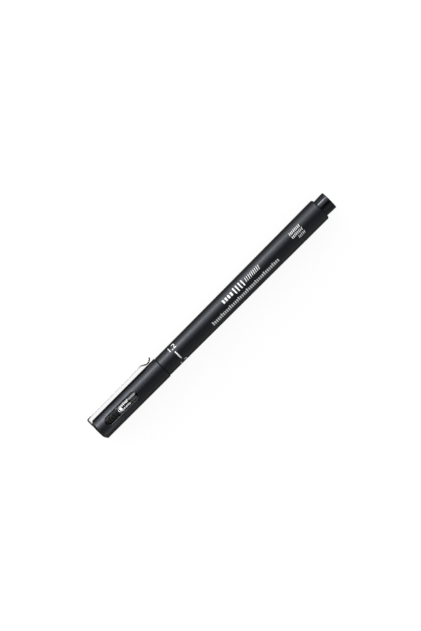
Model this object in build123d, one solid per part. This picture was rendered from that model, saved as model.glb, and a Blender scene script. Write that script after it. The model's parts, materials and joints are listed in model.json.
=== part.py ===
from build123d import *
import math
import os

# A capped drawing pen that lies on a table. Millimetres.
# Each solid is first made in the pen's own axes: X runs along the pen from the cap's closed end,
# Y points from the axis to the clip, and Z points from the axis to the cap's window.
# The last step lays the pen down: the wide rear of the barrel and the clip's edge touch the table.

# Lengths along the pen
cap_length = 38.35
mouth_gap = 0.3
barrel_length = 93.95
tail_projection = 5.4

# Clearances
press_clearance = 0.02
running_clearance = 0.05
slide_clearance = 0.06
overrun = 1.0

# Cap shell
cap_end_diameter = 10.0
cap_mouth_diameter = 10.2
cap_wall = 0.85
cap_end_wall = 2.0
cap_end_crown = 0.35
cap_bevel_length = 1.15
cap_bevel_height = 1.8
cap_bevel_round = 0.5
cap_mouth_round = 0.12
window_start = 4.9
window_length = 18.45
window_width = 4.1
window_bevel = 0.15
snap_groove_from_mouth = 3.4
snap_groove_width = 1.3
snap_groove_depth = 0.15

# Clip, one bent strip
clip_thickness = 0.7
clip_root_width = 4.0
clip_tip_width = 3.4
clip_tip_round = 1.0
clip_edge_round = 0.06
clip_back = 0.05
clip_root_height = 7.05
clip_far_height = 7.25
clip_tip_height = 7.25
clip_strip_from_mouth = 6.1
clip_dip_angle = 31
clip_lift_angle = 52
clip_shoulder_bend = 0.8
clip_root_bend = 0.5
clip_crook_bend = 2.0
clip_touch_bend = 2.4
clip_touch_gap = 0.12
clip_tab_height = 2.9
clip_tab_length = 2.9
clip_side_clearance = 0.12
clip_bed_clearance = 0.12
clip_flex_room = 0.3
root_bevel_height = 4.0
root_bevel_length = 1.6

# Keeper behind the closed end, and the thimble that turns on its stem
keeper_thickness = 1.9
keeper_stem_diameter = 2.2
keeper_stem_length = 1.5
keeper_bead_height = 0.2
keeper_bead_length = 0.5
thimble_gap = 0.15
thimble_crest_diameter = 5.6
thimble_rib_depth = 0.35
thimble_rib_pitch = 1.26
thimble_rib_land = 0.55
thimble_rib_slope = 0.15
thimble_socket_web = 0.6
thimble_bore_diameter = 3.2

# Ring at the thimble's mouth
ring_diameter = 5.3
ring_thickness = 0.9
ring_sleeve_length = 1.4
ring_hole_diameter = 1.6
ring_edge_round = 0.12

# Front section. Its collar and the thimble divide the depth that the rest leaves in the cap.
section_collar_share = 0.538
section_cone_length = 5.2
section_nose_length = 5.9
section_nose_diameter = 2.9
section_nose_base_diameter = 3.4
section_cone_bend = 3.0
section_shoulder_bend = 1.2
section_tip_round = 0.2
section_spigot_diameter = 2.06
section_spigot_length = 4.2
section_tail_length = 8.6
section_flange_thickness = 0.24
section_flange_step = 0.15
section_bead_height = 0.1
section_bead_width = 0.9
section_bore_wall = 1.5
section_bore_chamfer = 0.4

# Ferrule, nib and nib holder
ferrule_diameter = 2.8
ferrule_length = 5.25
ferrule_front_wall = 0.6
ferrule_front_round = 0.15
ferrule_slot_width = 0.95
ferrule_slot_from_front = 1.05
ferrule_slot_turn = 8
ferrule_pilot_diameter = 2.0
ferrule_pilot_length = 0.1
seal_face_gap = 0.05
nib_diameter = 1.2
nib_projection = 3.3
nib_tip_round = 0.5
nib_into_reservoir = 7.0
holder_flange_thickness = 1.2
holder_body_diameter = 3.4
holder_length = 14.0
holder_groove_count = 4
holder_groove_width = 0.8
holder_groove_depth = 0.5

# Barrel
barrel_front_diameter = 9.6
barrel_rear_diameter = 10.55
barrel_wall = 1.0
barrel_front_round = 0.12
barrel_rear_round = 0.85
barrel_inner_round = 0.12

# Ink store
reservoir_gap = 0.2
reservoir_side_gap = 0.12
reservoir_film = 0.15
reservoir_film_lip = 1.0

# Tail plug
plug_neck_diameter = 8.28
plug_head_diameter = 8.5
plug_neck_length = 1.1
plug_land_length = 1.5
plug_neck_round = 0.35
plug_head_round = 0.45
plug_crown = 0.2
plug_skirt_length = 6.5
plug_skirt_wall = 0.9
plug_ring_height = 0.15
plug_ring_width = 0.7
plug_ring_count = 3

# Stations along the pen and radii that follow
overall_length = cap_length + mouth_gap + barrel_length + tail_projection
barrel_front = cap_length + mouth_gap
barrel_rear = barrel_front + barrel_length
thimble_front = cap_end_wall + keeper_thickness + thimble_gap
ring_stack = ring_thickness + seal_face_gap + ferrule_pilot_length
section_stack = ferrule_length + section_nose_length + section_cone_length
divided_depth = barrel_front - thimble_front - ring_stack - section_stack
section_collar_front = barrel_front - section_collar_share * divided_depth
section_cone_front = section_collar_front - section_cone_length
section_nose_front = section_cone_front - section_nose_length
section_rear = barrel_front + section_tail_length
ferrule_front = section_nose_front - ferrule_length
ring_back = ferrule_front - ferrule_pilot_length - seal_face_gap
ring_front = ring_back - ring_thickness
nib_tip = ferrule_front - nib_projection
holder_front = section_collar_front + section_bore_wall
holder_rear = holder_front + holder_length
plug_front = barrel_rear - plug_skirt_length
reservoir_front = max(section_rear, holder_rear) + reservoir_gap
reservoir_rear = plug_front - reservoir_gap
clip_strip_end = cap_length - clip_strip_from_mouth
clip_half = clip_thickness / 2
clip_leg = clip_back + clip_half


def cap_radius(station):
    """The cap's outer radius, which grows steadily to the mouth."""
    return (cap_end_diameter + (cap_mouth_diameter - cap_end_diameter) * station / cap_length) / 2


def cap_bore(station):
    return cap_radius(station) - cap_wall


def barrel_radius(station):
    """The barrel's outer radius, which grows steadily to the rear."""
    share = (station - barrel_front) / barrel_length
    return (barrel_front_diameter + (barrel_rear_diameter - barrel_front_diameter) * share) / 2


def barrel_bore(station):
    return barrel_radius(station) - barrel_wall


# The pen lies so far rolled that the clip's lower edge reaches the table beside the barrel's rear.
rest_height = barrel_radius(barrel_rear)
clip_edge_reach = math.hypot(clip_far_height, clip_root_width / 2)
clip_edge_angle = math.atan2(clip_root_width / 2, clip_far_height)
roll = math.asin(rest_height / clip_edge_reach) - clip_edge_angle
clip_side_reach = clip_far_height * math.cos(roll) + clip_root_width / 2 * math.sin(roll)
axis_place = (-overall_length / 2, (rest_height - clip_side_reach) / 2, rest_height)
lie = Location(axis_place, (-math.degrees(roll), 0, 0))


def turned(*points, rounds=()):
    """A solid turned about the pen's axis. Points are (station, radius), rounds are (point, radius)."""
    radii = {}
    for corner, radius in rounds:
        radii[corner] = radius
    outline = FilletPolyline(*points, radius=[radii.get(point, 0) for point in points], close=True)
    return revolve(make_face(outline), Axis.X)


def crowned(blank, apex, crown, radius, side):
    """The blank with one end cut to a shallow ball of the given crown over the given radius."""
    ball_radius = (radius**2 + crown**2) / (2 * crown)
    ball = Pos(apex + side * ball_radius, 0, 0) * Sphere(ball_radius)
    return blank & ball


def pill(start, length, width):
    """A round-ended outline along the pen, looking at the window."""
    return Pos(start + length / 2, 0) * SlotOverall(length, width)


def block(low, high):
    """A box between two corners."""
    size = [b - a for a, b in zip(low, high)]
    middle = [(a + b) / 2 for a, b in zip(low, high)]
    return Pos(*middle) * Box(*size)


def snap_station():
    return cap_length - snap_groove_from_mouth


def make_cap_shell():
    end = (0, cap_radius(0) - cap_bevel_height)
    rim = (cap_bevel_length, cap_radius(cap_bevel_length))
    mouth = (cap_length, cap_radius(cap_length))
    rounds = [(rim, cap_bevel_round), (mouth, cap_mouth_round)]
    body = turned((0, 0), end, rim, mouth, (cap_length, 0), rounds=rounds)
    body = crowned(body, 0, cap_end_crown, cap_radius(0), 1)
    bore_end = (cap_end_wall, cap_bore(cap_end_wall))
    bore_mouth = (cap_length, cap_bore(cap_length))
    body -= turned((cap_end_wall, 0), bore_end, bore_mouth, (cap_length, 0))
    body -= snap_groove()
    body = cut_window(body)
    return body - clip_bed()


def snap_groove():
    middle = snap_station()
    floor = cap_bore(middle) + snap_groove_depth
    half = snap_groove_width / 2
    inner = cap_bore(middle) - cap_wall
    return turned(
        (middle - half, inner),
        (middle - half + snap_groove_depth, floor),
        (middle + half - snap_groove_depth, floor),
        (middle + half, inner),
    )


def cut_window(body):
    """The window: a straight slot through the wall with a bevel round its outer edge."""
    slot_length = window_length - 2 * window_bevel
    slot_width = window_width - 2 * window_bevel
    outline = pill(window_start + window_bevel, slot_length, slot_width)
    body -= extrude(outline, cap_mouth_diameter)
    edges = body.edges().filter_by(lambda edge: on_window_rim(edge, slot_width))
    return chamfer(edges, window_bevel)


def on_window_rim(edge, slot_width):
    """True for the edges where the window's slot meets the cap's outer face."""
    middle = edge.position_at(1 / 2)
    inside = window_start < middle.X < window_start + window_length
    reach = math.hypot(middle.Y, middle.Z)
    outside = reach > cap_radius(middle.X) - cap_wall / 2
    return inside and outside and middle.Z > 0 and abs(middle.Y) < slot_width


def clip_bed():
    """The recess in the closed end for the clip's leg, the bevel over it, and the slot for the clip's tab."""
    side = clip_root_width / 2 + clip_side_clearance
    floor = clip_leg + clip_half + clip_bed_clearance
    bottom = clip_tab_height - clip_half - clip_bed_clearance
    recess = block((-overrun, bottom, -side), (floor, cap_end_diameter, side))
    bevel = Polyline(
        (-overrun, root_bevel_height),
        (floor, root_bevel_height),
        (root_bevel_length, cap_radius(0)),
        (root_bevel_length, cap_end_diameter),
        (-overrun, cap_end_diameter),
        close=True,
    )
    recess += extrude(make_face(bevel), cap_end_diameter, both=True)
    return recess + tab_slot(cap_end_wall + overrun)


def tab_slot(end):
    """The space that the clip's tab needs, with room above it for the clip to flex."""
    side = clip_root_width / 2 + clip_side_clearance
    bottom = clip_tab_height - clip_half - clip_bed_clearance
    top = clip_tab_height + clip_half + clip_flex_room
    return block((0, bottom, -side), (end, top, side))


def clip_path():
    """The middle line of the strip, from the tab in the cap to the curled tip."""
    dip = math.radians(clip_dip_angle)
    lift = math.radians(clip_lift_angle)
    touch = cap_radius(cap_length) + clip_touch_gap + clip_half
    corner_rise = math.cos((lift - dip) / 2) / math.cos((lift + dip) / 2) - 1
    corner = touch - clip_touch_bend * corner_rise
    far = clip_far_height - clip_half
    tip = clip_tip_height - clip_half
    corner_station = clip_strip_end + (far - corner) / math.tan(dip)
    tip_station = corner_station + (tip - corner) / math.tan(lift)
    return FilletPolyline(
        (clip_back + clip_tab_length, clip_tab_height),
        (clip_leg, clip_tab_height),
        (clip_leg, clip_root_height - clip_half),
        (clip_strip_end, far),
        (corner_station, corner),
        (tip_station, tip),
        radius=[clip_root_bend, clip_shoulder_bend, clip_crook_bend, clip_touch_bend],
    )


def make_clip():
    path = clip_path()
    strip = extrude(trace(path, clip_thickness), clip_root_width / 2, both=True)
    end = (path @ 1).X + clip_half
    root = clip_root_width / 2
    tip = clip_tip_width / 2
    plan = make_face(
        FilletPolyline(
            (clip_back, -root),
            (end, -tip),
            (end, tip),
            (clip_back, root),
            radius=[0, clip_tip_round, clip_tip_round, 0],
            close=True,
        )
    )
    plan = Rot(90, 0, 0) * plan
    clip = strip & extrude(plan, clip_far_height + overrun, both=True)
    edges = clip.edges().filter_by(lambda edge: abs(edge.position_at(1 / 2).Z) > tip / 2)
    rims = edges.filter_by(lambda edge: abs((edge @ 0).Z - (edge @ 1).Z) < clip_half)
    return fillet(rims, clip_edge_round)


def make_clip_keeper():
    """Plug behind the closed end, with a beaded stem for the thimble."""
    front = cap_end_wall
    back = front + keeper_thickness
    radius = cap_bore(cap_end_wall) - press_clearance
    stem = keeper_stem_diameter / 2
    stem_end = back + keeper_stem_length
    bead_front = stem_end - keeper_bead_length
    body = turned(
        (front, 0),
        (front, radius),
        (back, radius),
        (back, stem),
        (bead_front, stem),
        (bead_front, stem + keeper_bead_height),
        (stem_end, stem),
        (stem_end, 0),
    )
    return body - tab_slot(clip_back + clip_tab_length + clip_bed_clearance)


def make_inner_cap():
    """Ribbed thimble: it turns on the keeper's stem, and its mouth closes round the nib."""
    crest = thimble_crest_diameter / 2
    valley = crest - thimble_rib_depth
    outline = [(thimble_front, 0), (thimble_front, valley)]
    station = ring_front - thimble_rib_land
    ribs = []
    while station - thimble_rib_slope > thimble_front + thimble_rib_slope:
        ribs.insert(0, station)
        station -= thimble_rib_pitch
    for rib in ribs:
        outline.append((rib - thimble_rib_slope, valley))
        outline.append((rib, crest))
        outline.append((rib + thimble_rib_land, crest))
        outline.append((rib + thimble_rib_land + thimble_rib_slope, valley))
    outline[-1] = (ring_front, 0)
    body = turned(*outline)
    bore = thimble_bore_diameter / 2
    socket_end = cap_end_wall + keeper_thickness + keeper_stem_length + running_clearance
    bore_front = socket_end + thimble_socket_web
    body -= turned((bore_front, 0), (bore_front, bore), (ring_front, bore), (ring_front, 0))
    return body - thimble_socket(socket_end)


def thimble_socket(end):
    """The space for the keeper's stem and its bead, with room to turn."""
    stem = keeper_stem_diameter / 2 + running_clearance
    bead_front = end - keeper_bead_length - 2 * running_clearance
    bead = stem + keeper_bead_height
    return turned(
        (thimble_front, 0),
        (thimble_front, stem),
        (bead_front, stem),
        (bead_front, bead),
        (end, bead),
        (end, 0),
    )


def make_seal_ring():
    """Flanged metal ring pressed into the thimble's mouth."""
    outer = ring_diameter / 2
    sleeve = thimble_bore_diameter / 2 - press_clearance
    hole = ring_hole_diameter / 2
    sleeve_front = ring_front - ring_sleeve_length
    front_rim = (ring_front, outer)
    back_rim = (ring_back, outer)
    return turned(
        (sleeve_front, hole),
        (sleeve_front, sleeve),
        (ring_front, sleeve),
        front_rim,
        back_rim,
        (ring_back, hole),
        rounds=[(front_rim, ring_edge_round), (back_rim, ring_edge_round)],
    )


def make_front_section():
    """Part that carries the cap: spigot, nose, cone, collar with its snap bead, flange, and tail."""
    spigot = section_spigot_diameter / 2
    nose = section_nose_diameter / 2
    base = section_nose_base_diameter / 2
    bead = cap_bore(section_collar_front) - slide_clearance
    collar = bead - section_bead_height
    flange = barrel_radius(barrel_front) - section_flange_step
    flange_front = barrel_front - section_flange_thickness
    spigot_front = section_nose_front - section_spigot_length
    nose_rim = (section_nose_front, nose)
    cone_foot = (section_cone_front, base)
    shoulder = (section_collar_front, collar)
    body = turned(
        (spigot_front, 0),
        (spigot_front, spigot),
        (section_nose_front, spigot),
        nose_rim,
        cone_foot,
        shoulder,
        (flange_front, collar),
        (flange_front, flange),
        (barrel_front, flange),
        (barrel_front, barrel_bore(barrel_front) - press_clearance),
        (section_rear, barrel_bore(section_rear) - press_clearance),
        (section_rear, 0),
        rounds=[
            (nose_rim, section_tip_round),
            (cone_foot, section_cone_bend),
            (shoulder, section_shoulder_bend),
        ],
    )
    half = section_bead_width / 2
    middle = snap_station()
    body += turned(
        (middle - half, collar - section_bead_height),
        (middle - half + section_bead_height, bead),
        (middle + half - section_bead_height, bead),
        (middle + half, collar - section_bead_height),
    )
    return body - section_bores(spigot_front)


def holder_bore():
    """Radius of the section's rear bore, which the holder's flange fills."""
    return barrel_bore(barrel_front) - section_bore_wall


def section_bores(front):
    nib = nib_diameter / 2 + running_clearance
    bore = holder_bore()
    end = section_rear
    return turned(
        (front, 0),
        (front, nib),
        (holder_front, nib),
        (holder_front, bore),
        (end - section_bore_chamfer, bore),
        (end, bore + section_bore_chamfer),
        (end, 0),
    )


def make_nib_ferrule():
    """Metal sleeve over the section's spigot, slotted from its rear end on both sides."""
    outer = ferrule_diameter / 2
    pilot = ferrule_pilot_diameter / 2
    bore = section_spigot_diameter / 2 + press_clearance
    hole = nib_diameter / 2 + running_clearance
    front = ferrule_front - ferrule_pilot_length
    inner_front = ferrule_front + ferrule_front_wall
    rim = (ferrule_front, outer)
    body = turned(
        (front, hole),
        (front, pilot),
        (ferrule_front, pilot),
        rim,
        (section_nose_front, outer),
        (section_nose_front, bore),
        (inner_front, bore),
        (inner_front, hole),
        rounds=[(rim, ferrule_front_round)],
    )
    slot_start = ferrule_front + ferrule_slot_from_front
    slot = pill(slot_start, 2 * ferrule_length, ferrule_slot_width)
    return body - Rot(ferrule_slot_turn, 0, 0) * extrude(slot, ferrule_diameter, both=True)


def make_nib():
    """Fibre rod from the rounded writing tip into the ink store."""
    radius = nib_diameter / 2
    end = reservoir_front + nib_into_reservoir
    rim = (nib_tip, radius)
    return turned((nib_tip, 0), rim, (end, radius), (end, 0), rounds=[(rim, nib_tip_round)])


def make_nib_holder():
    """Sleeve that grips the nib inside the section, with air grooves past its flanges."""
    front = holder_front
    end = holder_rear
    flange = holder_bore() - press_clearance
    body_radius = holder_body_diameter / 2
    hole = nib_diameter / 2 + press_clearance
    body = turned(
        (front, hole),
        (front, flange),
        (front + holder_flange_thickness, flange),
        (front + holder_flange_thickness, body_radius),
        (end - holder_flange_thickness, body_radius),
        (end - holder_flange_thickness, flange),
        (end, flange),
        (end, hole),
    )
    half = holder_groove_width / 2
    floor = flange - holder_groove_depth
    groove = block((front - overrun, floor, -half), (end + overrun, flange + overrun, half))
    for index in range(holder_groove_count):
        body -= Rot(index * 360 / holder_groove_count, 0, 0) * groove
    return body


def film_radius():
    """Outer radius of the film, which clears the bore's narrow front."""
    return barrel_bore(reservoir_front) - reservoir_side_gap


def make_reservoir_core():
    radius = film_radius() - reservoir_film - press_clearance
    nib = nib_diameter / 2 + press_clearance
    pocket = reservoir_front + nib_into_reservoir + press_clearance
    return turned(
        (reservoir_front, nib),
        (reservoir_front, radius),
        (reservoir_rear, radius),
        (reservoir_rear, 0),
        (pocket, 0),
        (pocket, nib),
    )


def make_reservoir_wrap():
    outer = film_radius()
    inner = outer - reservoir_film
    front = reservoir_front + reservoir_film_lip
    rear = reservoir_rear - reservoir_film_lip
    return turned((front, inner), (front, outer), (rear, outer), (rear, inner))


def make_barrel():
    """Tapered tube with an even wall."""
    front_rim = (barrel_front, barrel_radius(barrel_front))
    rear_rim = (barrel_rear, barrel_radius(barrel_rear))
    rear_bore = (barrel_rear, barrel_bore(barrel_rear))
    return turned(
        (barrel_front, barrel_bore(barrel_front)),
        front_rim,
        rear_rim,
        rear_bore,
        rounds=[
            (front_rim, barrel_front_round),
            (rear_rim, barrel_rear_round),
            (rear_bore, barrel_inner_round),
        ],
    )


def make_tail_plug():
    """Stopper: a hollow ringed skirt in the barrel, a neck, and a head that flares to a land."""
    neck = plug_neck_diameter / 2
    head = plug_head_diameter / 2
    skirt_front = barrel_bore(plug_front) - press_clearance - plug_ring_height
    skirt_rear = barrel_bore(barrel_rear) - press_clearance - plug_ring_height
    inner = skirt_front - plug_skirt_wall
    neck_end = barrel_rear + plug_neck_length
    head_front = overall_length - plug_head_round - plug_land_length
    rim = (overall_length, head)
    neck_corner = (neck_end, neck)
    body = turned(
        (barrel_rear, 0),
        (barrel_rear, inner),
        (plug_front, inner),
        (plug_front, skirt_front),
        (barrel_rear, skirt_rear),
        neck_corner,
        (head_front, head),
        rim,
        (overall_length, 0),
        rounds=[(neck_corner, plug_neck_round), (rim, plug_head_round)],
    )
    body = crowned(body, overall_length, plug_crown, head, -1)
    pitch = plug_skirt_length / plug_ring_count
    for index in range(plug_ring_count):
        body += plug_ring(plug_front + (index + 1 / 2) * pitch)
    return body


def plug_ring(middle):
    """One sealing ring round the plug's skirt."""
    half = plug_ring_width / 2
    crest = barrel_bore(middle) - press_clearance
    foot = crest - 2 * plug_ring_height
    return turned(
        (middle - half, foot),
        (middle - half + plug_ring_height, crest),
        (middle + half - plug_ring_height, crest),
        (middle + half, foot),
    )


pieces = {
    "cap_shell": make_cap_shell,
    "clip": make_clip,
    "clip_keeper": make_clip_keeper,
    "inner_cap": make_inner_cap,
    "seal_ring": make_seal_ring,
    "front_section": make_front_section,
    "nib_ferrule": make_nib_ferrule,
    "nib": make_nib,
    "nib_holder": make_nib_holder,
    "reservoir_core": make_reservoir_core,
    "reservoir_wrap": make_reservoir_wrap,
    "barrel": make_barrel,
    "tail_plug": make_tail_plug,
}

os.makedirs("parts", exist_ok=True)
for name, make in pieces.items():
    export_step(lie * make(), f"parts/{name}.step")
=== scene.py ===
"""Looks of a capped drawing pen that lies on a pale table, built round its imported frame. Metres."""

import json
import math

import bpy
from bpy.props import FloatProperty, FloatVectorProperty, IntProperty, PointerProperty, StringProperty
from mathutils import Matrix, Vector


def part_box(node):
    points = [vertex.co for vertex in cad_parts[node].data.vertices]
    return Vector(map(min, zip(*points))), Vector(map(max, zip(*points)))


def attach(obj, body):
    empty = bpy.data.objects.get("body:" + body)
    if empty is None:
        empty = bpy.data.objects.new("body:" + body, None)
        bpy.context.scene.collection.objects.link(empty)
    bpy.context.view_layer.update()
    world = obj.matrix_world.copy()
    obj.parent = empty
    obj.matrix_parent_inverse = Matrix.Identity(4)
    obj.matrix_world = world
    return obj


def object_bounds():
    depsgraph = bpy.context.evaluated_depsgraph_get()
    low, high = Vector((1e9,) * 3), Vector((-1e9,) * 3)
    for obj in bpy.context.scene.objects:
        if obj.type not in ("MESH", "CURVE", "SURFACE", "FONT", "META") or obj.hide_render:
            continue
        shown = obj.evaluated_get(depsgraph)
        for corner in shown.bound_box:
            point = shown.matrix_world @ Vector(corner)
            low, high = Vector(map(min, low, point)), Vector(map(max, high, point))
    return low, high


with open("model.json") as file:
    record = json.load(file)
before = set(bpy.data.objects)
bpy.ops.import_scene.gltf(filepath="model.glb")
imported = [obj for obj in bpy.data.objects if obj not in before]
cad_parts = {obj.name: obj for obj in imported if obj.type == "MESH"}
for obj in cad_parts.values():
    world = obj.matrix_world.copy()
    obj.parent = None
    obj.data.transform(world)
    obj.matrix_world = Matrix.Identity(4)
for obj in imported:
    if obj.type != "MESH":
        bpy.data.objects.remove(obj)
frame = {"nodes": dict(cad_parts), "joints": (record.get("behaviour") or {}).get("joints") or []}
cad_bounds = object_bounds()

bl_info = {
    "name": "Drawing pen",
    "version": (1, 0, 0),
    "blender": (4, 5, 0),
    "location": "3D View > Sidebar > Drawing pen",
    "description": "Finishes, print and studio for a capped drawing pen",
    "category": "Object",
}

MM = 0.001
# Width of the camera's sensor.
SENSOR = 0.036
# Nearly all values of a noise lie between these two.
NOISE_LOW = 0.3
NOISE_HIGH = 0.7
# How far a plastic's roughness wanders from its middle.
ROUGH_SWING = 0.03
# Length over which one tone of a piece turns into the next.
TONE_BLEND = 0.1 * MM
CORNER_SEGMENTS = 3


def joint(name):
    """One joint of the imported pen, by its name."""
    return next(row for row in frame["joints"] if row["name"] == name)


# The pen's own directions: along it to the tail, out of the cap's window, and out to the clip.
AXIS_POINT = Vector(joint("cap_twist")["pos_m"])
ALONG = Vector(joint("cap_twist")["axis"]).normalized()
TO_WINDOW = Vector(joint("clip_flex")["axis"]).normalized()
TO_CLIP = TO_WINDOW.cross(ALONG)
ROLL = math.atan2(TO_WINDOW.y, TO_WINDOW.z)
BARREL_LOW, BARREL_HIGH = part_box("barrel")
BARREL_REAR_RADIUS = (BARREL_HIGH.z - BARREL_LOW.z) / 2
SLEEVE_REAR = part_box("nib_ferrule")[1].x
NIB_LOW, NIB_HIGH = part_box("nib")
NIB_WIDTH = NIB_HIGH.y - NIB_LOW.y


def length(label, text, default):
    """A length that a user may change, in metres."""
    return FloatProperty(name=label, description=text, default=default, unit="LENGTH", precision=6)


def angle(label, text, degrees):
    """An angle that a user may change."""
    return FloatProperty(name=label, description=text, default=math.radians(degrees), subtype="ANGLE")


def colour(label, text, default):
    """A colour that a user may change."""
    return FloatVectorProperty(name=label, description=text, default=default, subtype="COLOR", min=0, max=1)


def factor(label, text, default):
    """A share from 0 to 1 that a user may change."""
    return FloatProperty(name=label, description=text, default=default, subtype="FACTOR", min=0, max=1)


def level(label, text, default):
    """A plain number that a user may change."""
    return FloatProperty(name=label, description=text, default=default, min=0)


class PenFinish(bpy.types.PropertyGroup):
    """Colours, gloss and changes of tone of the pen's materials."""

    satin_colour: colour("Satin black", "Cap, barrel and clip keeper", (0.003, 0.003, 0.0042))
    satin_roughness: factor("Satin roughness", "Cap, barrel and clip keeper", 0.41)
    gloss_colour: colour("Gloss black", "Tail plug", (0.002, 0.002, 0.0024))
    gloss_roughness: factor("Gloss roughness", "Tail plug", 0.12)
    shine_tint: colour("Shine", "Tint of the black plastics' reflections", (0.85, 0.9, 1.0))
    shine_level: factor("Shine level", "Strength of the black plastics' reflections", 0.5)
    shine_rim: factor("Shine at the rim", "The same where the surface is seen at a glance", 0.03)
    fade_start: factor("Fade start", "Turn from the viewer where the shine starts to fade", 0.22)
    fade_end: factor("Fade end", "Turn from the viewer where the shine has faded", 0.5)
    # Painted highlight: this grey on the black section stands for the nose's shine in the window, and the
    # cone takes the same grey.
    section_sheen_colour: colour("Section grey", "Nose and cone of the front section", (0.09, 0.09, 0.094))
    # The section's own black, also used for the painted shade on the nose.
    black_and_shade_colour: colour("Inky black", "Section in the sleeve and at the flange", (0.004, 0.004, 0.005))
    flange_length: length("Flange length", "Length of the black flange at the barrel", 0.5 * MM)
    # Painted reflection: a dark stripe coloured along the middle of the nose.
    painted_stripe_length: length("Groove length", "Length of the inky line along the nose", 5.9 * MM)
    painted_stripe_width: length("Groove width", "Width of the inky line along the nose", 0.9 * MM)
    painted_stripe_offset: length("Groove offset", "The line's middle from the axis, away from the clip", 0.22 * MM)
    # Painted shadow: above this height towards the clip, the nose is coloured dark as if the window's edge
    # shaded it.
    nose_shadow_height: length("Nose height", "Height towards the clip above which the nose is inky", 1.05 * MM)
    steel_colour: colour("Bright steel", "Polished edges of the clip's strip", (0.9, 0.9, 0.91))
    brushed_colour: colour("Brushed steel", "Broad faces of the clip's strip", (0.5, 0.5, 0.51))
    plated_colour: colour("Plated brass", "Nib sleeve", (0.88, 0.88, 0.89))
    ring_colour: colour("Grey metal", "Seal ring", (0.2, 0.2, 0.21))
    rubber_colour: colour("Seal rubber", "Ribbed thimble", (0.02, 0.02, 0.021))
    # Painted shadow: above this height towards the clip, the thimble's dust is taken out and the rubber is
    # coloured darker.
    rubber_shadow_height: length("Bloom height", "Height towards the clip where the thimble's dust ends", 1.45 * MM)
    natural_colour: colour("Natural plastic", "Nib holder", (0.72, 0.71, 0.66))
    ink_colour: colour("Ink", "Nib and ink store", (0.012, 0.012, 0.016))
    film_colour: colour("Film", "Wrap of the ink store", (0.75, 0.77, 0.8))
    print_colour: colour("Print", "White print on the barrel", (0.9, 0.9, 0.91))


class PenPrint(bpy.types.PropertyGroup):
    """Sizes and places of the white print. Stations are measured from the barrel's front end."""

    film: length("Ink film", "Thickness of the printed ink", 0.02 * MM)
    corner: length("Corner", "Round of the strokes' corners", 0.05 * MM)
    strip: length("Strip", "Width of the strips that follow the barrel's round", 0.2 * MM)
    number: StringProperty(
        name="Size number", description="The nib's width in millimetres", default=f"{NIB_WIDTH / MM:.1f}"
    )
    repeat: IntProperty(name="Repeats", description="Size marks round the barrel", default=3, min=1)
    repeat_turn: angle("Repeat turn", "Step from one size mark to the next", 109)
    number_station: length("Number station", "Middle of the size number", 8.1 * MM)
    number_turn: angle("Number turn", "From the window's side towards the clip", 38)
    number_height: length("Number height", "Font size of the size number", 3.6 * MM)
    ring_station: length("Ring station", "Middle of the line round the barrel", 8.2 * MM)
    ring_turn: angle("Ring turn", "Middle of the line round the barrel", -13.5)
    ring_reach: length("Ring reach", "Reach of the line across the barrel", 4.05 * MM)
    ring_width: length("Ring width", "Width of the line round the barrel", 0.6 * MM)
    gauge_station: length("Gauge station", "Front of the line gauge", 36.9 * MM)
    gauge_turn: angle("Gauge turn", "Middle of the line gauge", 14)
    gauge_space: length("Gauge space", "Space between the gauge's groups", 1.1 * MM)
    scale_station: length("Scale station", "Front of the fine scale", 27.9 * MM)
    scale_turn: angle("Scale turn", "Middle of the fine scale", -29)
    scale_pitch: length("Scale pitch", "Step of the fine scale", 1.0 * MM)
    scale_count: IntProperty(name="Scale steps", description="Steps of the fine scale", default=38, min=1)
    scale_major: IntProperty(name="Long tick", description="Every such tick is long", default=5, min=1)
    tick_width: length("Tick width", "Width of a tick", 0.6 * MM)
    tick_height: length("Tick height", "Height of a short tick", 1.4 * MM)
    tick_long: length("Long tick height", "Height of a long tick", 1.7 * MM)
    rows_station: length("Rows station", "Rear end of the three rows near the tail", 82.7 * MM)
    rows_turn: angle("Rows turn", "Middle row near the tail", -2.5)
    rows_pitch: length("Rows pitch", "Step from row to row round the barrel", 1.76 * MM)
    rows_height: length("Rows height", "Height of the rows' strokes", 1.2 * MM)
    rows_width: length("Rows stroke", "Width of the rows' strokes", 0.32 * MM)
    rows_gap: length("Rows gap", "Gap between the rows' strokes", 0.46 * MM)
    slant: factor("Slant", "Lean of the fine strokes, as a share of their height", 0.25)


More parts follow.
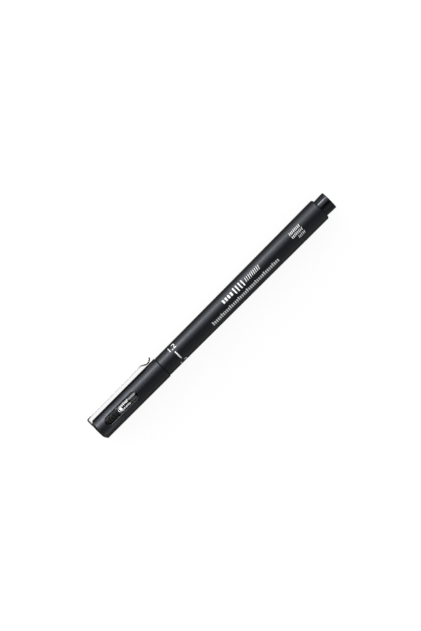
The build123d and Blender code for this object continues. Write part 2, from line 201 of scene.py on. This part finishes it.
class PenStudio(bpy.types.PropertyGroup):
    """Floor, lights and camera."""

    picture_span: length("Picture span", "What the picture's long side shows at the pen", 265.7 * MM)
    picture_shift: length("Picture shift", "The pen's middle, right of the picture's middle", 1.39 * MM)
    picture_drop: length("Picture drop", "The pen's middle, below the picture's middle", 0.09 * MM)
    picture_turn: angle("Picture turn", "The pen's lean in the picture", 45.06)
    lens: level("Lens", "Focal length in millimetres", 135)
    floor_size: length("Floor size", "Side of the floor", 12.0)
    floor_colour: colour("Floor", "Colour of the floor", (0.25, 0.25, 0.25))
    floor_glow: level("Floor glow", "White that the floor adds to what is seen", 0.9)
    key_distance: length("Key distance", "From the pen to the strip light beside it", 0.8)
    key_place: length("Key place", "Middle of the strip light along the pen", -0.43)
    key_length: length("Key length", "Length of the strip light", 1.1)
    key_height: length("Key height", "Height of the strip light, which stands on the floor", 0.16)
    key_level: level("Key level", "Brightness of the strip light", 12.5)
    fill_distance: length("Fill distance", "From the pen to the strip light on its other side", 0.8)
    fill_length: length("Fill length", "Length of that light", 1.6)
    fill_height: length("Fill height", "Height of that light, which stands on the floor", 0.12)
    fill_level: level("Fill level", "Brightness of that light", 2.2)
    card_distance: length("Card distance", "From the pen to the bright card behind the camera", 1.2)
    card_place: length("Card place", "Middle of the card along the pen", -0.094)
    card_length: length("Card length", "Length of the card along the pen", 0.066)
    card_height: length("Card height", "Height of the card", 0.16)
    card_level: level("Card level", "Brightness of the card", 0.9)
    spot_distance: length("Spot distance", "From the pen's axis to the spots on the cap", 0.1)
    spot_level: level("Spot level", "White that a spot makes on a facing white surface", 1.1)
    world_level: level("Surroundings", "Brightness of the room where it is brightest", 3.0)


def in_object_mode():
    """Leave edit mode and clear the selection, ready for a new piece."""
    if bpy.context.object and bpy.context.object.mode != "OBJECT":
        bpy.ops.object.mode_set(mode="OBJECT")
    bpy.ops.object.select_all(action="DESELECT")


def pick(piece):
    """Make a piece the only one selected, and the active one."""
    in_object_mode()
    piece.select_set(True)
    bpy.context.view_layer.objects.active = piece


def seat(piece):
    """Put a piece's place into its mesh, so that its object sits at the origin."""
    pick(piece)
    bpy.ops.object.transform_apply(location=True, rotation=True, scale=True)


def stroke(size_along, size_round, corner, middle=(0, 0), slant=0):
    """A flat stroke with rounded corners in the XY plane, which may lean along the pen."""
    in_object_mode()
    bpy.ops.mesh.primitive_plane_add(size=1, location=(0, 0, 0))
    mark = bpy.context.object
    bpy.ops.object.mode_set(mode="EDIT")
    bpy.ops.mesh.select_all(action="SELECT")
    bpy.ops.transform.resize(value=(size_along, size_round, 1))
    bpy.ops.mesh.bevel(offset=corner, segments=CORNER_SEGMENTS, affect="VERTICES")
    bpy.ops.transform.translate(value=(middle[0], middle[1], 0))
    bpy.ops.mesh.select_all(action="DESELECT")
    bpy.ops.object.mode_set(mode="OBJECT")
    if slant:
        for vertex in mark.data.vertices:
            vertex.select = vertex.co.y > middle[1]
        bpy.ops.object.mode_set(mode="EDIT")
        bpy.ops.transform.translate(value=(slant * size_round, 0, 0))
        bpy.ops.object.mode_set(mode="OBJECT")
    return mark


def strokes(count, size_along, gap, size_round, corner, start, height=0, slant=0):
    """A row of equal strokes along the pen, from a start, at a height round the barrel."""
    marks = []
    for index in range(count):
        middle = start + size_along / 2 + index * (size_along + gap)
        marks.append(stroke(size_along, size_round, corner, (middle, height), slant))
    return marks


def joined(marks, name):
    """Several flat marks as one object."""
    in_object_mode()
    for mark in marks:
        mark.select_set(True)
    bpy.context.view_layer.objects.active = marks[0]
    if len(marks) > 1:
        bpy.ops.object.join()
    whole = bpy.context.object
    whole.name = name
    whole.data.name = name
    return whole


def cut_in_strips(mark, width):
    """Cut a flat mark into strips along the pen, so that it can follow the barrel's round."""
    heights = [vertex.co.y for vertex in mark.data.vertices]
    low = min(heights)
    span = max(heights) - low
    count = math.ceil(span / width)
    pick(mark)
    bpy.ops.object.mode_set(mode="EDIT")
    for index in range(1, count):
        bpy.ops.mesh.select_all(action="SELECT")
        bpy.ops.mesh.bisect(plane_co=(0, low + span * index / count, 0), plane_no=(0, 1, 0))
    bpy.ops.object.mode_set(mode="OBJECT")


def print_on_barrel(mark, station, turn, sizes, material):
    """Lay a flat mark over the barrel, press it onto the surface, and give it the ink's thickness."""
    cut_in_strips(mark, sizes.strip)
    facing = math.cos(turn) * TO_WINDOW + math.sin(turn) * TO_CLIP
    place = Vector((BARREL_LOW.x + station, AXIS_POINT.y, AXIS_POINT.z))
    mark.rotation_euler = (-(ROLL + turn), 0, 0)
    mark.location = place + facing * BARREL_REAR_RADIUS
    pick(mark)
    press = mark.modifiers.new("Press", "SHRINKWRAP")
    press.target = frame["nodes"]["barrel"]
    press.wrap_method = "PROJECT"
    press.use_project_z = True
    press.use_negative_direction = True
    press.use_positive_direction = False
    press.offset = sizes.film
    ink = mark.modifiers.new("Ink", "SOLIDIFY")
    ink.thickness = sizes.film
    ink.offset = -1
    for step in (press.name, ink.name):
        bpy.ops.object.modifier_apply(modifier=step)
    seat(mark)
    bpy.ops.object.shade_flat()
    mark.data.materials.append(material)
    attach(mark, "pen")


def shade(base, share):
    """A colour made lighter or darker by a share."""
    return tuple(channel * share for channel in base)


class Finish:
    """A material under construction: its shader and the nodes that feed it."""

    def __init__(self, name):
        self.material = bpy.data.materials.new(name)
        self.material.use_nodes = True
        self.nodes = self.material.node_tree.nodes
        self.links = self.material.node_tree.links
        self.shader = self.nodes["Principled BSDF"]
        self.place = self.nodes.new("ShaderNodeTexCoord")

    def set(self, **values):
        """Constant values on the shader's own sockets, by their names with underscores."""
        for name, value in values.items():
            self.shader.inputs[name.replace("_", " ")].default_value = value

    def feed(self, name, value):
        """Let a node's value drive one of the shader's sockets."""
        self.links.new(value, self.shader.inputs[name])

    def calculate(self, operation, *values):
        """The result of a sum on nodes' values or plain numbers."""
        node = self.nodes.new("ShaderNodeMath")
        node.operation = operation
        for socket, value in zip(node.inputs, values):
            if isinstance(value, float):
                socket.default_value = value
            else:
                self.links.new(value, socket)
        return node.outputs["Value"]

    def remap(self, value, start, end, at_start=0.0, at_end=1.0, kind="LINEAR"):
        """A value stretched from one range to another, and held beyond the range's ends."""
        node = self.nodes.new("ShaderNodeMapRange")
        node.interpolation_type = kind
        node.inputs["From Min"].default_value = start
        node.inputs["From Max"].default_value = end
        node.inputs["To Min"].default_value = at_start
        node.inputs["To Max"].default_value = at_end
        self.links.new(value, node.inputs["Value"])
        return node.outputs["Result"]

    def noise(self, size, stretch=(1, 1, 1), detail=2.0):
        """A noise whose features are about the given size, in object coordinates."""
        mapping = self.nodes.new("ShaderNodeMapping")
        mapping.inputs["Scale"].default_value = stretch
        noise = self.nodes.new("ShaderNodeTexNoise")
        noise.inputs["Scale"].default_value = 1 / size
        noise.inputs["Detail"].default_value = detail
        self.links.new(self.place.outputs["Object"], mapping.inputs["Vector"])
        self.links.new(mapping.outputs["Vector"], noise.inputs["Vector"])
        return noise.outputs["Fac"]

    def spread(self, value, at_low, at_high):
        """A noise stretched between two values."""
        return self.remap(value, NOISE_LOW, NOISE_HIGH, at_low, at_high)

    def step(self, value, edge, blend=TONE_BLEND):
        """A value that goes from 0 below an edge to 1 above it."""
        return self.remap(value, edge, edge + blend)

    def reach(self, kind, direction):
        """How far the place, or the surface's normal, reaches along a direction."""
        node = self.nodes.new("ShaderNodeVectorMath")
        node.operation = "DOT_PRODUCT"
        node.inputs[1].default_value = direction
        self.links.new(self.place.outputs[kind], node.inputs[0])
        return node.outputs["Value"]

    def behind(self, station):
        """A value that goes from 0 before a station along the pen to 1 behind it."""
        return self.step(self.reach("Object", ALONG), station)

    def height(self):
        """The height from the pen's axis towards the clip."""
        return self.calculate("SUBTRACT", self.reach("Object", TO_CLIP), AXIS_POINT.dot(TO_CLIP))

    def above(self, height):
        """A value that goes from 0 below a height towards the clip to 1 above it."""
        return self.step(self.height(), height)

    def beside(self, offset, width):
        """A value that is 0 on a line along the pen, on the window's side and the far side, else 1."""
        distance = self.calculate("ABSOLUTE", self.calculate("ADD", self.height(), offset))
        return self.step(distance, width / 2)

    def facing(self, direction, least, blend):
        """A value that goes from 0 to 1 where the surface faces along a direction, either way."""
        share = self.calculate("ABSOLUTE", self.reach("Normal", direction))
        return self.step(share, least, blend)

    def shine(self, finish):
        """Tinted reflections that fade where the surface is seen at a glance."""
        self.set(Specular_Tint=(*finish.shine_tint, 1))
        turned = self.nodes.new("ShaderNodeLayerWeight").outputs["Facing"]
        fades = (finish.fade_start, finish.fade_end, finish.shine_level, finish.shine_rim)
        self.feed("Specular IOR Level", self.remap(turned, *fades, kind="SMOOTHSTEP"))

    def tint(self, value, at_low, at_high):
        """Colour that wanders between two tones."""
        ramp = self.nodes.new("ShaderNodeValToRGB")
        low, high = ramp.color_ramp.elements
        low.position = NOISE_LOW
        low.color = (*at_low, 1)
        high.position = NOISE_HIGH
        high.color = (*at_high, 1)
        self.links.new(value, ramp.inputs["Fac"])
        self.feed("Base Color", ramp.outputs["Color"])

    def shades(self, value, base, darkest, lightest=1.0):
        """Colour that wanders between two shares of a base colour."""
        self.tint(value, shade(base, darkest), shade(base, lightest))

    def rough(self, value, at_low, at_high):
        """Roughness that wanders between two values."""
        self.feed("Roughness", self.spread(value, at_low, at_high))

    def rough_about(self, value, middle):
        """Roughness that wanders a little about its middle."""
        self.rough(value, middle - ROUGH_SWING, middle + ROUGH_SWING)

    def bump(self, value, depth, strength):
        """Small relief of the given depth."""
        bump = self.nodes.new("ShaderNodeBump")
        bump.inputs["Distance"].default_value = depth
        bump.inputs["Strength"].default_value = strength
        self.links.new(value, bump.inputs["Height"])
        self.feed("Normal", bump.outputs["Normal"])

    def grain(self):
        """The fine even grain of a moulded surface."""
        self.bump(self.noise(size=0.14 * MM, detail=1.0), depth=0.002 * MM, strength=0.5)


def satin_plastic(name, finish):
    """Moulded black plastic with a fine even grain, rubbed a little smoother in places."""
    made = Finish(name)
    made.shine(finish)
    made.shades(made.noise(size=6 * MM), finish.satin_colour, darkest=0.85, lightest=1.2)
    made.rough_about(made.noise(size=9 * MM, stretch=(0.35, 1, 1)), finish.satin_roughness)
    made.grain()
    return made.material


def gloss_plastic(name, finish):
    """Polished black moulding with a faint flow waviness."""
    made = Finish(name)
    made.shine(finish)
    made.shades(made.noise(size=4 * MM), finish.gloss_colour, darkest=0.8, lightest=1.3)
    made.rough_about(made.noise(size=3 * MM), finish.gloss_roughness)
    made.bump(made.noise(size=1.6 * MM), depth=0.004 * MM, strength=0.4)
    return made.material


def section_plastic(name, finish):
    """Black moulded plastic in the nib's sleeve and at its flange, grey as a painted highlight elsewhere,
    with painted shade on parts of the nose.
    """
    made = Finish(name)
    made.set(Specular_IOR_Level=0.3)
    nose = made.behind(SLEEVE_REAR)
    cone = made.behind(SLEEVE_REAR + finish.painted_stripe_length)
    flange = made.behind(BARREL_LOW.x - finish.flange_length)
    # Painted reflection: the dark stripe along the nose.
    sides = made.beside(finish.painted_stripe_offset, finish.painted_stripe_width)
    # Painted shadow: the nose turns dark above a height towards the clip.
    flanks = made.calculate("SUBTRACT", sides, made.above(finish.nose_shadow_height))
    bare = made.calculate("MAXIMUM", flanks, cone)
    # The grey is painted highlight; the rest keeps the section's own black and the painted shade on the
    # nose.
    grey = made.calculate("MULTIPLY", nose, made.calculate("SUBTRACT", bare, flange))
    made.tint(grey, finish.black_and_shade_colour, finish.section_sheen_colour)
    made.rough(grey, at_low=0.85, at_high=0.55)
    made.grain()
    return made.material


def spring_steel(name, finish):
    """A steel strip that is brushed along its length, with polished edges."""
    made = Finish(name)
    made.set(Metallic=1.0)
    lines = made.noise(size=0.25 * MM, stretch=(0.05, 1, 1))
    edges = made.facing(TO_WINDOW, least=0.7, blend=0.2)
    made.tint(edges, finish.brushed_colour, finish.steel_colour)
    polished = made.spread(lines, at_low=0.02, at_high=0.04)
    brushed = made.calculate("SUBTRACT", made.spread(lines, at_low=0.15, at_high=0.3), edges)
    made.feed("Roughness", made.calculate("MAXIMUM", polished, brushed))
    return made.material


def turned_metal(name, tone):
    """Pearly turned metal with fine turning lines, which scatters light evenly."""
    made = Finish(name)
    made.set(Metallic=0.2)
    lines = made.noise(size=0.12 * MM, stretch=(1, 0.08, 0.08))
    made.shades(lines, tone, darkest=0.95)
    made.rough(lines, at_low=0.3, at_high=0.4)
    made.bump(lines, depth=0.001 * MM, strength=0.4)
    return made.material


def seal_rubber(name, finish):
    """Dull black elastomer with a dusty bloom, and a painted shadow that darkens it towards the clip."""
    made = Finish(name)
    made.set(Specular_IOR_Level=0.25)
    dust = made.spread(made.noise(size=0.9 * MM), at_low=0.55, at_high=0.7)
    # Painted shadow: above a height towards the clip the dust ends and the rubber is coloured darker.
    dust_and_shadow = made.calculate("SUBTRACT", dust, made.above(finish.rubber_shadow_height))
    made.shades(dust_and_shadow, finish.rubber_colour, darkest=0.1, lightest=1.8)
    made.rough(made.noise(size=0.5 * MM), at_low=0.42, at_high=0.58)
    made.bump(made.noise(size=0.12 * MM), depth=0.003 * MM, strength=0.5)
    return made.material


def natural_plastic(name, tone):
    """Milky moulded plastic that lets a little light in."""
    made = Finish(name)
    made.set(Subsurface_Weight=0.25, Subsurface_Scale=0.8 * MM)
    made.shades(made.noise(size=1.8 * MM), tone, darkest=0.94, lightest=1.03)
    made.rough(made.noise(size=1.0 * MM), at_low=0.32, at_high=0.46)
    made.bump(made.noise(size=0.3 * MM), depth=0.003 * MM, strength=0.4)
    return made.material


def ink_fibre(name, finish):
    """Bonded fibres that run along the pen, soaked with ink."""
    made = Finish(name)
    made.set(Specular_IOR_Level=0.3)
    fibres = made.noise(size=0.09 * MM, stretch=(0.04, 1, 1))
    made.shades(fibres, finish.ink_colour, darkest=0.7, lightest=2.6)
    made.rough(fibres, at_low=0.6, at_high=0.85)
    made.bump(fibres, depth=0.012 * MM, strength=0.8)
    return made.material


def clear_film(name, finish):
    """Thin clear wrap with soft creases."""
    made = Finish(name)
    made.set(Transmission_Weight=0.8, IOR=1.3)
    made.shades(made.noise(size=3 * MM), finish.film_colour, darkest=0.9)
    made.rough(made.noise(size=2 * MM), at_low=0.06, at_high=0.2)
    made.bump(made.noise(size=1.2 * MM, stretch=(0.3, 1, 1)), depth=0.02 * MM, strength=0.5)
    return made.material


def print_ink(name, finish):
    """Matt white ink, a little uneven where it was laid on."""
    made = Finish(name)
    made.set(Specular_IOR_Level=0.3)
    made.shades(made.noise(size=0.35 * MM), finish.print_colour, darkest=0.93)
    made.rough(made.noise(size=0.2 * MM), at_low=0.5, at_high=0.65)
    made.bump(made.noise(size=0.08 * MM), depth=0.002 * MM, strength=0.5)
    return made.material


def dress(material, *nodes):
    """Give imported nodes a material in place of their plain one."""
    for name in nodes:
        slots = frame["nodes"][name].data.materials
        slots.clear()
        slots.append(material)


class PEN_OT_mouldings(bpy.types.Operator):
    """Finish the moulded black pieces"""

    bl_idname = "pen.mouldings"
    bl_label = "Black mouldings"

    def execute(self, context):
        finish = context.scene.pen_finish
        dress(satin_plastic("Satin cap", finish), "cap_shell")
        dress(satin_plastic("Satin barrel", finish), "barrel")
        dress(gloss_plastic("Gloss plug", finish), "tail_plug")
        dress(section_plastic("Grey section", finish), "front_section")
        dress(satin_plastic("Keeper black", finish), "clip_keeper")
        dress(seal_rubber("Seal rubber", finish), "inner_cap")
        return {"FINISHED"}


class PEN_OT_metal(bpy.types.Operator):
    """Finish the clip, the nib's sleeve and the seal ring"""

    bl_idname = "pen.metal"
    bl_label = "Metal pieces"

    def execute(self, context):
        finish = context.scene.pen_finish
        dress(spring_steel("Clip steel", finish), "clip")
        dress(turned_metal("Plated brass", finish.plated_colour), "nib_ferrule")
        dress(turned_metal("Grey metal", finish.ring_colour), "seal_ring")
        return {"FINISHED"}


class PEN_OT_ink_parts(bpy.types.Operator):
    """Finish the nib, its holder and the ink store"""

    bl_idname = "pen.ink_parts"
    bl_label = "Nib and ink store"

    def execute(self, context):
        finish = context.scene.pen_finish
        dress(ink_fibre("Nib fibre", finish), "nib")
        dress(ink_fibre("Ink store fibre", finish), "reservoir_core")
        dress(natural_plastic("Natural plastic", finish.natural_colour), "nib_holder")
        dress(clear_film("Clear film", finish), "reservoir_wrap")
        return {"FINISHED"}


class PEN_OT_size_marks(bpy.types.Operator):
    """Print the nib's width and a line, several times round the barrel's front"""

    bl_idname = "pen.size_marks"
    bl_label = "Size marks"

    def execute(self, context):
        sizes = context.scene.pen_print
        ink = print_ink("Print size marks", context.scene.pen_finish)
        step = sizes.repeat_turn
        for index in range(sizes.repeat):
            number = self.number(sizes, f"size_number_{index + 1}")
            print_on_barrel(number, sizes.number_station, sizes.number_turn - index * step, sizes, ink)
            mark = stroke(sizes.ring_width, sizes.ring_reach, sizes.corner)
            line = joined([mark], f"size_line_{index + 1}")
            print_on_barrel(line, sizes.ring_station, sizes.ring_turn - index * step, sizes, ink)
        return {"FINISHED"}

    def number(self, sizes, name):
        """The number as a flat mesh, centred."""
        in_object_mode()
        bpy.ops.object.text_add(location=(0, 0, 0))
        text = bpy.context.object
        text.data.body = sizes.number
        text.data.size = sizes.number_height
        text.data.align_x = "CENTER"
        text.data.align_y = "CENTER"
        bpy.ops.object.convert(target="MESH")
        return joined([bpy.context.object], name)


class PEN_OT_line_gauge(bpy.types.Operator):
    """Print three groups of strokes: bold, tall and fine"""

    bl_idname = "pen.line_gauge"
    bl_label = "Line gauge"

    # Each group's count of strokes, their width, gap and height in millimetres, and its share of the
    # slant.
    GROUPS = ((4, 0.9, 0.65, 1.7, 0), (4, 0.6, 1.0, 3.0, 0), (9, 0.3, 0.65, 1.9, 1))

    def execute(self, context):
        sizes = context.scene.pen_print
        ink = print_ink("Print line gauge", context.scene.pen_finish)
        marks = []
        start = 0
        for count, width, gap, height, lean in self.GROUPS:
            slant = lean * sizes.slant
            marks += strokes(count, width * MM, gap * MM, height * MM, sizes.corner, start, slant=slant)
            start += (count * (width + gap) - gap) * MM + sizes.gauge_space
        gauge = joined(marks, "line_gauge")
        print_on_barrel(gauge, sizes.gauge_station, sizes.gauge_turn, sizes, ink)
        return {"FINISHED"}


class PEN_OT_fine_scale(bpy.types.Operator):
    """Print a fine scale of ticks along the barrel"""

    bl_idname = "pen.fine_scale"
    bl_label = "Fine scale"

    def execute(self, context):
        sizes = context.scene.pen_print
        ink = print_ink("Print fine scale", context.scene.pen_finish)
        marks = []
        foot = -sizes.tick_long / 2
        for index in range(sizes.scale_count + 1):
            tall = sizes.tick_height if index % sizes.scale_major else sizes.tick_long
            middle = (index * sizes.scale_pitch, foot + tall / 2)
            marks.append(stroke(sizes.tick_width, tall, sizes.corner, middle))
        scale = joined(marks, "fine_scale")
        print_on_barrel(scale, sizes.scale_station, sizes.scale_turn, sizes, ink)
        return {"FINISHED"}


class PEN_OT_line_rows(bpy.types.Operator):
    """Print three short rows of leaning strokes near the tail"""

    bl_idname = "pen.line_rows"
    bl_label = "Line rows"

    # Strokes in each row, from the clip's side.
    COUNTS = (8, 8, 5)

    def execute(self, context):
        sizes = context.scene.pen_print
        ink = print_ink("Print line rows", context.scene.pen_finish)
        marks = []
        for index, count in enumerate(self.COUNTS):
            start = -count * (sizes.rows_width + sizes.rows_gap)
            height = (1 - index) * sizes.rows_pitch
            marks += strokes(
                count,
                sizes.rows_width,
                sizes.rows_gap,
                sizes.rows_height,
                sizes.corner,
                start,
                height,
                sizes.slant,
            )
        rows = joined(marks, "line_rows")
        print_on_barrel(rows, sizes.rows_station, sizes.rows_turn, sizes, ink)
        return {"FINISHED"}


class PEN_OT_studio(bpy.types.Operator):
    """Floor, lights and camera"""

    bl_idname = "pen.studio"
    bl_label = "Studio"

    # Each spot's turn from the window's direction towards the clip in degrees, its station from the cap's
    # closed end, its height towards the clip and its radius on the pen, all three in millimetres, the
    # softness of its edge, and its share of the spots' level.
    SPOTS = (
        ("spot_ribs_front", 0, 6.4, 2.6, 2.4, 1.0, 2.35),
        ("spot_ribs_middle", 0, 8.6, 2.6, 2.4, 1.0, 2.35),
        ("spot_ribs_rear", 0, 10.8, 2.6, 2.4, 1.0, 2.35),
        ("spot_tip", 0, 17.3, 0.0, 5.15, 0.12, 0.8),
        ("spot_sleeve", 0, 15.6, 2.4, 3.4, 0.4, 0.15),
        ("spot_nose", 0, 20.5, 1.9, 2.7, 0.4, 2.7),
        ("spot_end_high", 46, 2.0, 0.0, 14.0, 1.0, 0.2),
        ("spot_end_low", -74, 2.0, 0.0, 14.0, 1.0, 0.06),
    )

    # Brightness of the room from the side away from the clip round to the clip's side. Each row is the sine
    # of the angle from the window's direction towards the clip, and the share of the room's level there.
    ROOM_SHARES = (
        (-0.95, 0.12),
        (-0.7, 0.16),
        (-0.34, 0.035),
        (-0.16, 0.008),
        (0.0, 0.01),
        (0.19, 0.15),
        (0.39, 0.38),
        (0.75, 1.0),
    )

    def execute(self, context):
        studio = context.scene.pen_studio
        self.floor(studio)
        self.lights(studio)
        self.spots(studio)
        self.world(context.scene, studio)
        self.camera(context.scene, studio)
        context.scene.view_settings.view_transform = "Standard"
        return {"FINISHED"}

    def floor(self, studio):
        """A plain pale floor that looks white and keeps the pen's shadow."""
        in_object_mode()
        bpy.ops.mesh.primitive_plane_add(size=studio.floor_size, location=(0, 0, 0))
        floor = bpy.context.object
        floor.name = "floor"
        floor.data.materials.append(self.floor_material(studio))

    def floor_material(self, studio):
        """A dull surface that adds white where it is seen, straight or in the pen, and lights nothing."""
        made = Finish("Pale floor")
        made.set(Roughness=1.0, Specular_IOR_Level=0.0, Emission_Color=(1, 1, 1, 1))
        made.shades(made.noise(size=40 * MM), studio.floor_colour, darkest=0.995)
        rays = made.nodes.new("ShaderNodeLightPath").outputs
        seen = made.calculate("MAXIMUM", rays["Is Camera Ray"], rays["Is Glossy Ray"])
        shown = made.calculate("MAXIMUM", seen, rays["Is Transmission Ray"])
        made.feed("Emission Strength", made.calculate("MULTIPLY", shown, studio.floor_glow))
        return made.material

    def lights(self, studio):
        """Strip lights on both sides of the pen, and a card that the clip mirrors."""
        place = Vector((studio.key_place, studio.key_distance, studio.key_height / 2))
        key = self.lamp("key", "AREA", place, Vector((0, 1, 0)))
        self.rectangle(key, studio.key_length, studio.key_height, studio.key_level)
        place = Vector((0, -studio.fill_distance, studio.fill_height / 2))
        fill = self.lamp("fill", "AREA", place, Vector((0, -1, 0)))
        self.rectangle(fill, studio.fill_length, studio.fill_height, studio.fill_level)
        place = AXIS_POINT + TO_WINDOW * studio.card_distance
        place.x = studio.card_place
        card = self.lamp("card", "AREA", place, TO_WINDOW)
        self.rectangle(card, studio.card_length, studio.card_height, studio.card_level)

    def spots(self, studio):
        """Spots on what the window shows and on the cap's closed end."""
        white_power = (2 * math.pi * studio.spot_distance) ** 2
        for name, turn, station, height, radius, softness, share in self.SPOTS:
            facing = Matrix.Rotation(math.radians(-turn), 3, "X") @ TO_WINDOW
            place = AXIS_POINT + facing * studio.spot_distance + TO_CLIP * height * MM
            place.x = cad_bounds[0].x + station * MM
            spot = self.lamp(name, "SPOT", place, facing)
            spot.shadow_soft_size = 0
            spot.spot_size = 2 * math.atan(radius * MM / studio.spot_distance)
            spot.spot_blend = softness
            spot.energy = share * studio.spot_level * white_power

    def rectangle(self, lamp, wide, tall, brightness):
        """Give an area lamp its size and an even brightness."""
        lamp.shape = "RECTANGLE"
        lamp.size = wide
        lamp.size_y = tall
        lamp.energy = brightness * math.pi * wide * tall

    def lamp(self, name, kind, place, facing):
        """A lamp that the camera does not see, whose back is towards the given direction."""
        lamp = bpy.data.lights.new(name, kind)
        holder = bpy.data.objects.new(name, lamp)
        bpy.context.scene.collection.objects.link(holder)
        holder.location = place
        holder.rotation_euler = facing.to_track_quat("Z", "Y").to_euler()
        holder.visible_camera = False
        return lamp

    def world(self, scene, studio):
        """A room that is bright beside the clip and dark round the camera."""
        world = bpy.data.worlds.new("Room")
        scene.world = world
        world.use_nodes = True
        nodes = world.node_tree.nodes
        links = world.node_tree.links
        place = nodes.new("ShaderNodeTexCoord")
        across = nodes.new("ShaderNodeVectorMath")
        across.operation = "DOT_PRODUCT"
        across.inputs[1].default_value = TO_CLIP
        links.new(place.outputs["Generated"], across.inputs[0])
        span = nodes.new("ShaderNodeMapRange")
        span.inputs["From Min"].default_value = -1
        links.new(across.outputs["Value"], span.inputs["Value"])
        ramp = nodes.new("ShaderNodeValToRGB")
        stops = ramp.color_ramp.elements
        stops.remove(stops[1])
        for index, (sine, share) in enumerate(self.ROOM_SHARES):
            stop = stops.new((sine + 1) / 2) if index else stops[0]
            stop.position = (sine + 1) / 2
            stop.color = (share, share, share, 1)
        links.new(span.outputs["Result"], ramp.inputs["Fac"])
        background = nodes["Background"].inputs
        background["Strength"].default_value = studio.world_level
        links.new(ramp.outputs["Color"], background["Color"])
        # Bounced rays find this soft room well, so direct light is drawn from the lamps alone.
        world.cycles.sampling_method = "NONE"

    def camera(self, scene, studio):
        """A long lens that looks straight at the cap's window."""
        data = bpy.data.cameras.new("camera")
        data.lens = studio.lens
        data.sensor_width = SENSOR / MM
        camera = bpy.data.objects.new("camera", data)
        scene.collection.objects.link(camera)
        turn = studio.picture_turn
        right = math.cos(turn) * ALONG - math.sin(turn) * TO_CLIP
        up = math.sin(turn) * ALONG + math.cos(turn) * TO_CLIP
        low, high = cad_bounds
        middle = Vector(((low.x + high.x) / 2, AXIS_POINT.y, AXIS_POINT.z))
        distance = studio.picture_span / SENSOR * studio.lens * MM
        place = middle - right * studio.picture_shift + up * studio.picture_drop + TO_WINDOW * distance
        turned = Matrix((right, up, TO_WINDOW)).transposed()
        camera.matrix_world = Matrix.Translation(place) @ turned.to_4x4()
        scene.camera = camera


class PEN_PT_panel(bpy.types.Panel):
    """The pen's settings and steps"""

    bl_idname = "PEN_PT_panel"
    bl_label = "Drawing pen"
    bl_space_type = "VIEW_3D"
    bl_region_type = "UI"
    bl_category = "Drawing pen"

    def draw(self, context):
        layout = self.layout
        for step in STEPS:
            layout.operator(step.bl_idname)
        for group in (context.scene.pen_finish, context.scene.pen_print, context.scene.pen_studio):
            box = layout.box()
            for name in group.__annotations__:
                box.prop(group, name)


STEPS = (
    PEN_OT_mouldings,
    PEN_OT_metal,
    PEN_OT_ink_parts,
    PEN_OT_size_marks,
    PEN_OT_line_gauge,
    PEN_OT_fine_scale,
    PEN_OT_line_rows,
    PEN_OT_studio,
)
SETTINGS = {"pen_finish": PenFinish, "pen_print": PenPrint, "pen_studio": PenStudio}


def register():
    """Make the settings, the steps and the panel known to Blender."""
    for group in SETTINGS.values():
        bpy.utils.register_class(group)
    for name, group in SETTINGS.items():
        setattr(bpy.types.Scene, name, PointerProperty(type=group))
    for step in STEPS:
        bpy.utils.register_class(step)
    bpy.utils.register_class(PEN_PT_panel)


def unregister():
    """Take back what register did."""
    bpy.utils.unregister_class(PEN_PT_panel)
    for step in reversed(STEPS):
        bpy.utils.unregister_class(step)
    for name, group in SETTINGS.items():
        delattr(bpy.types.Scene, name)
        bpy.utils.unregister_class(group)


def main():
    """Finish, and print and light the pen."""
    register()
    bpy.ops.pen.mouldings()
    bpy.ops.pen.metal()
    bpy.ops.pen.ink_parts()
    bpy.ops.pen.size_marks()
    bpy.ops.pen.line_gauge()
    bpy.ops.pen.fine_scale()
    bpy.ops.pen.line_rows()
    bpy.ops.pen.studio()


if __name__ == "__main__":
    main()
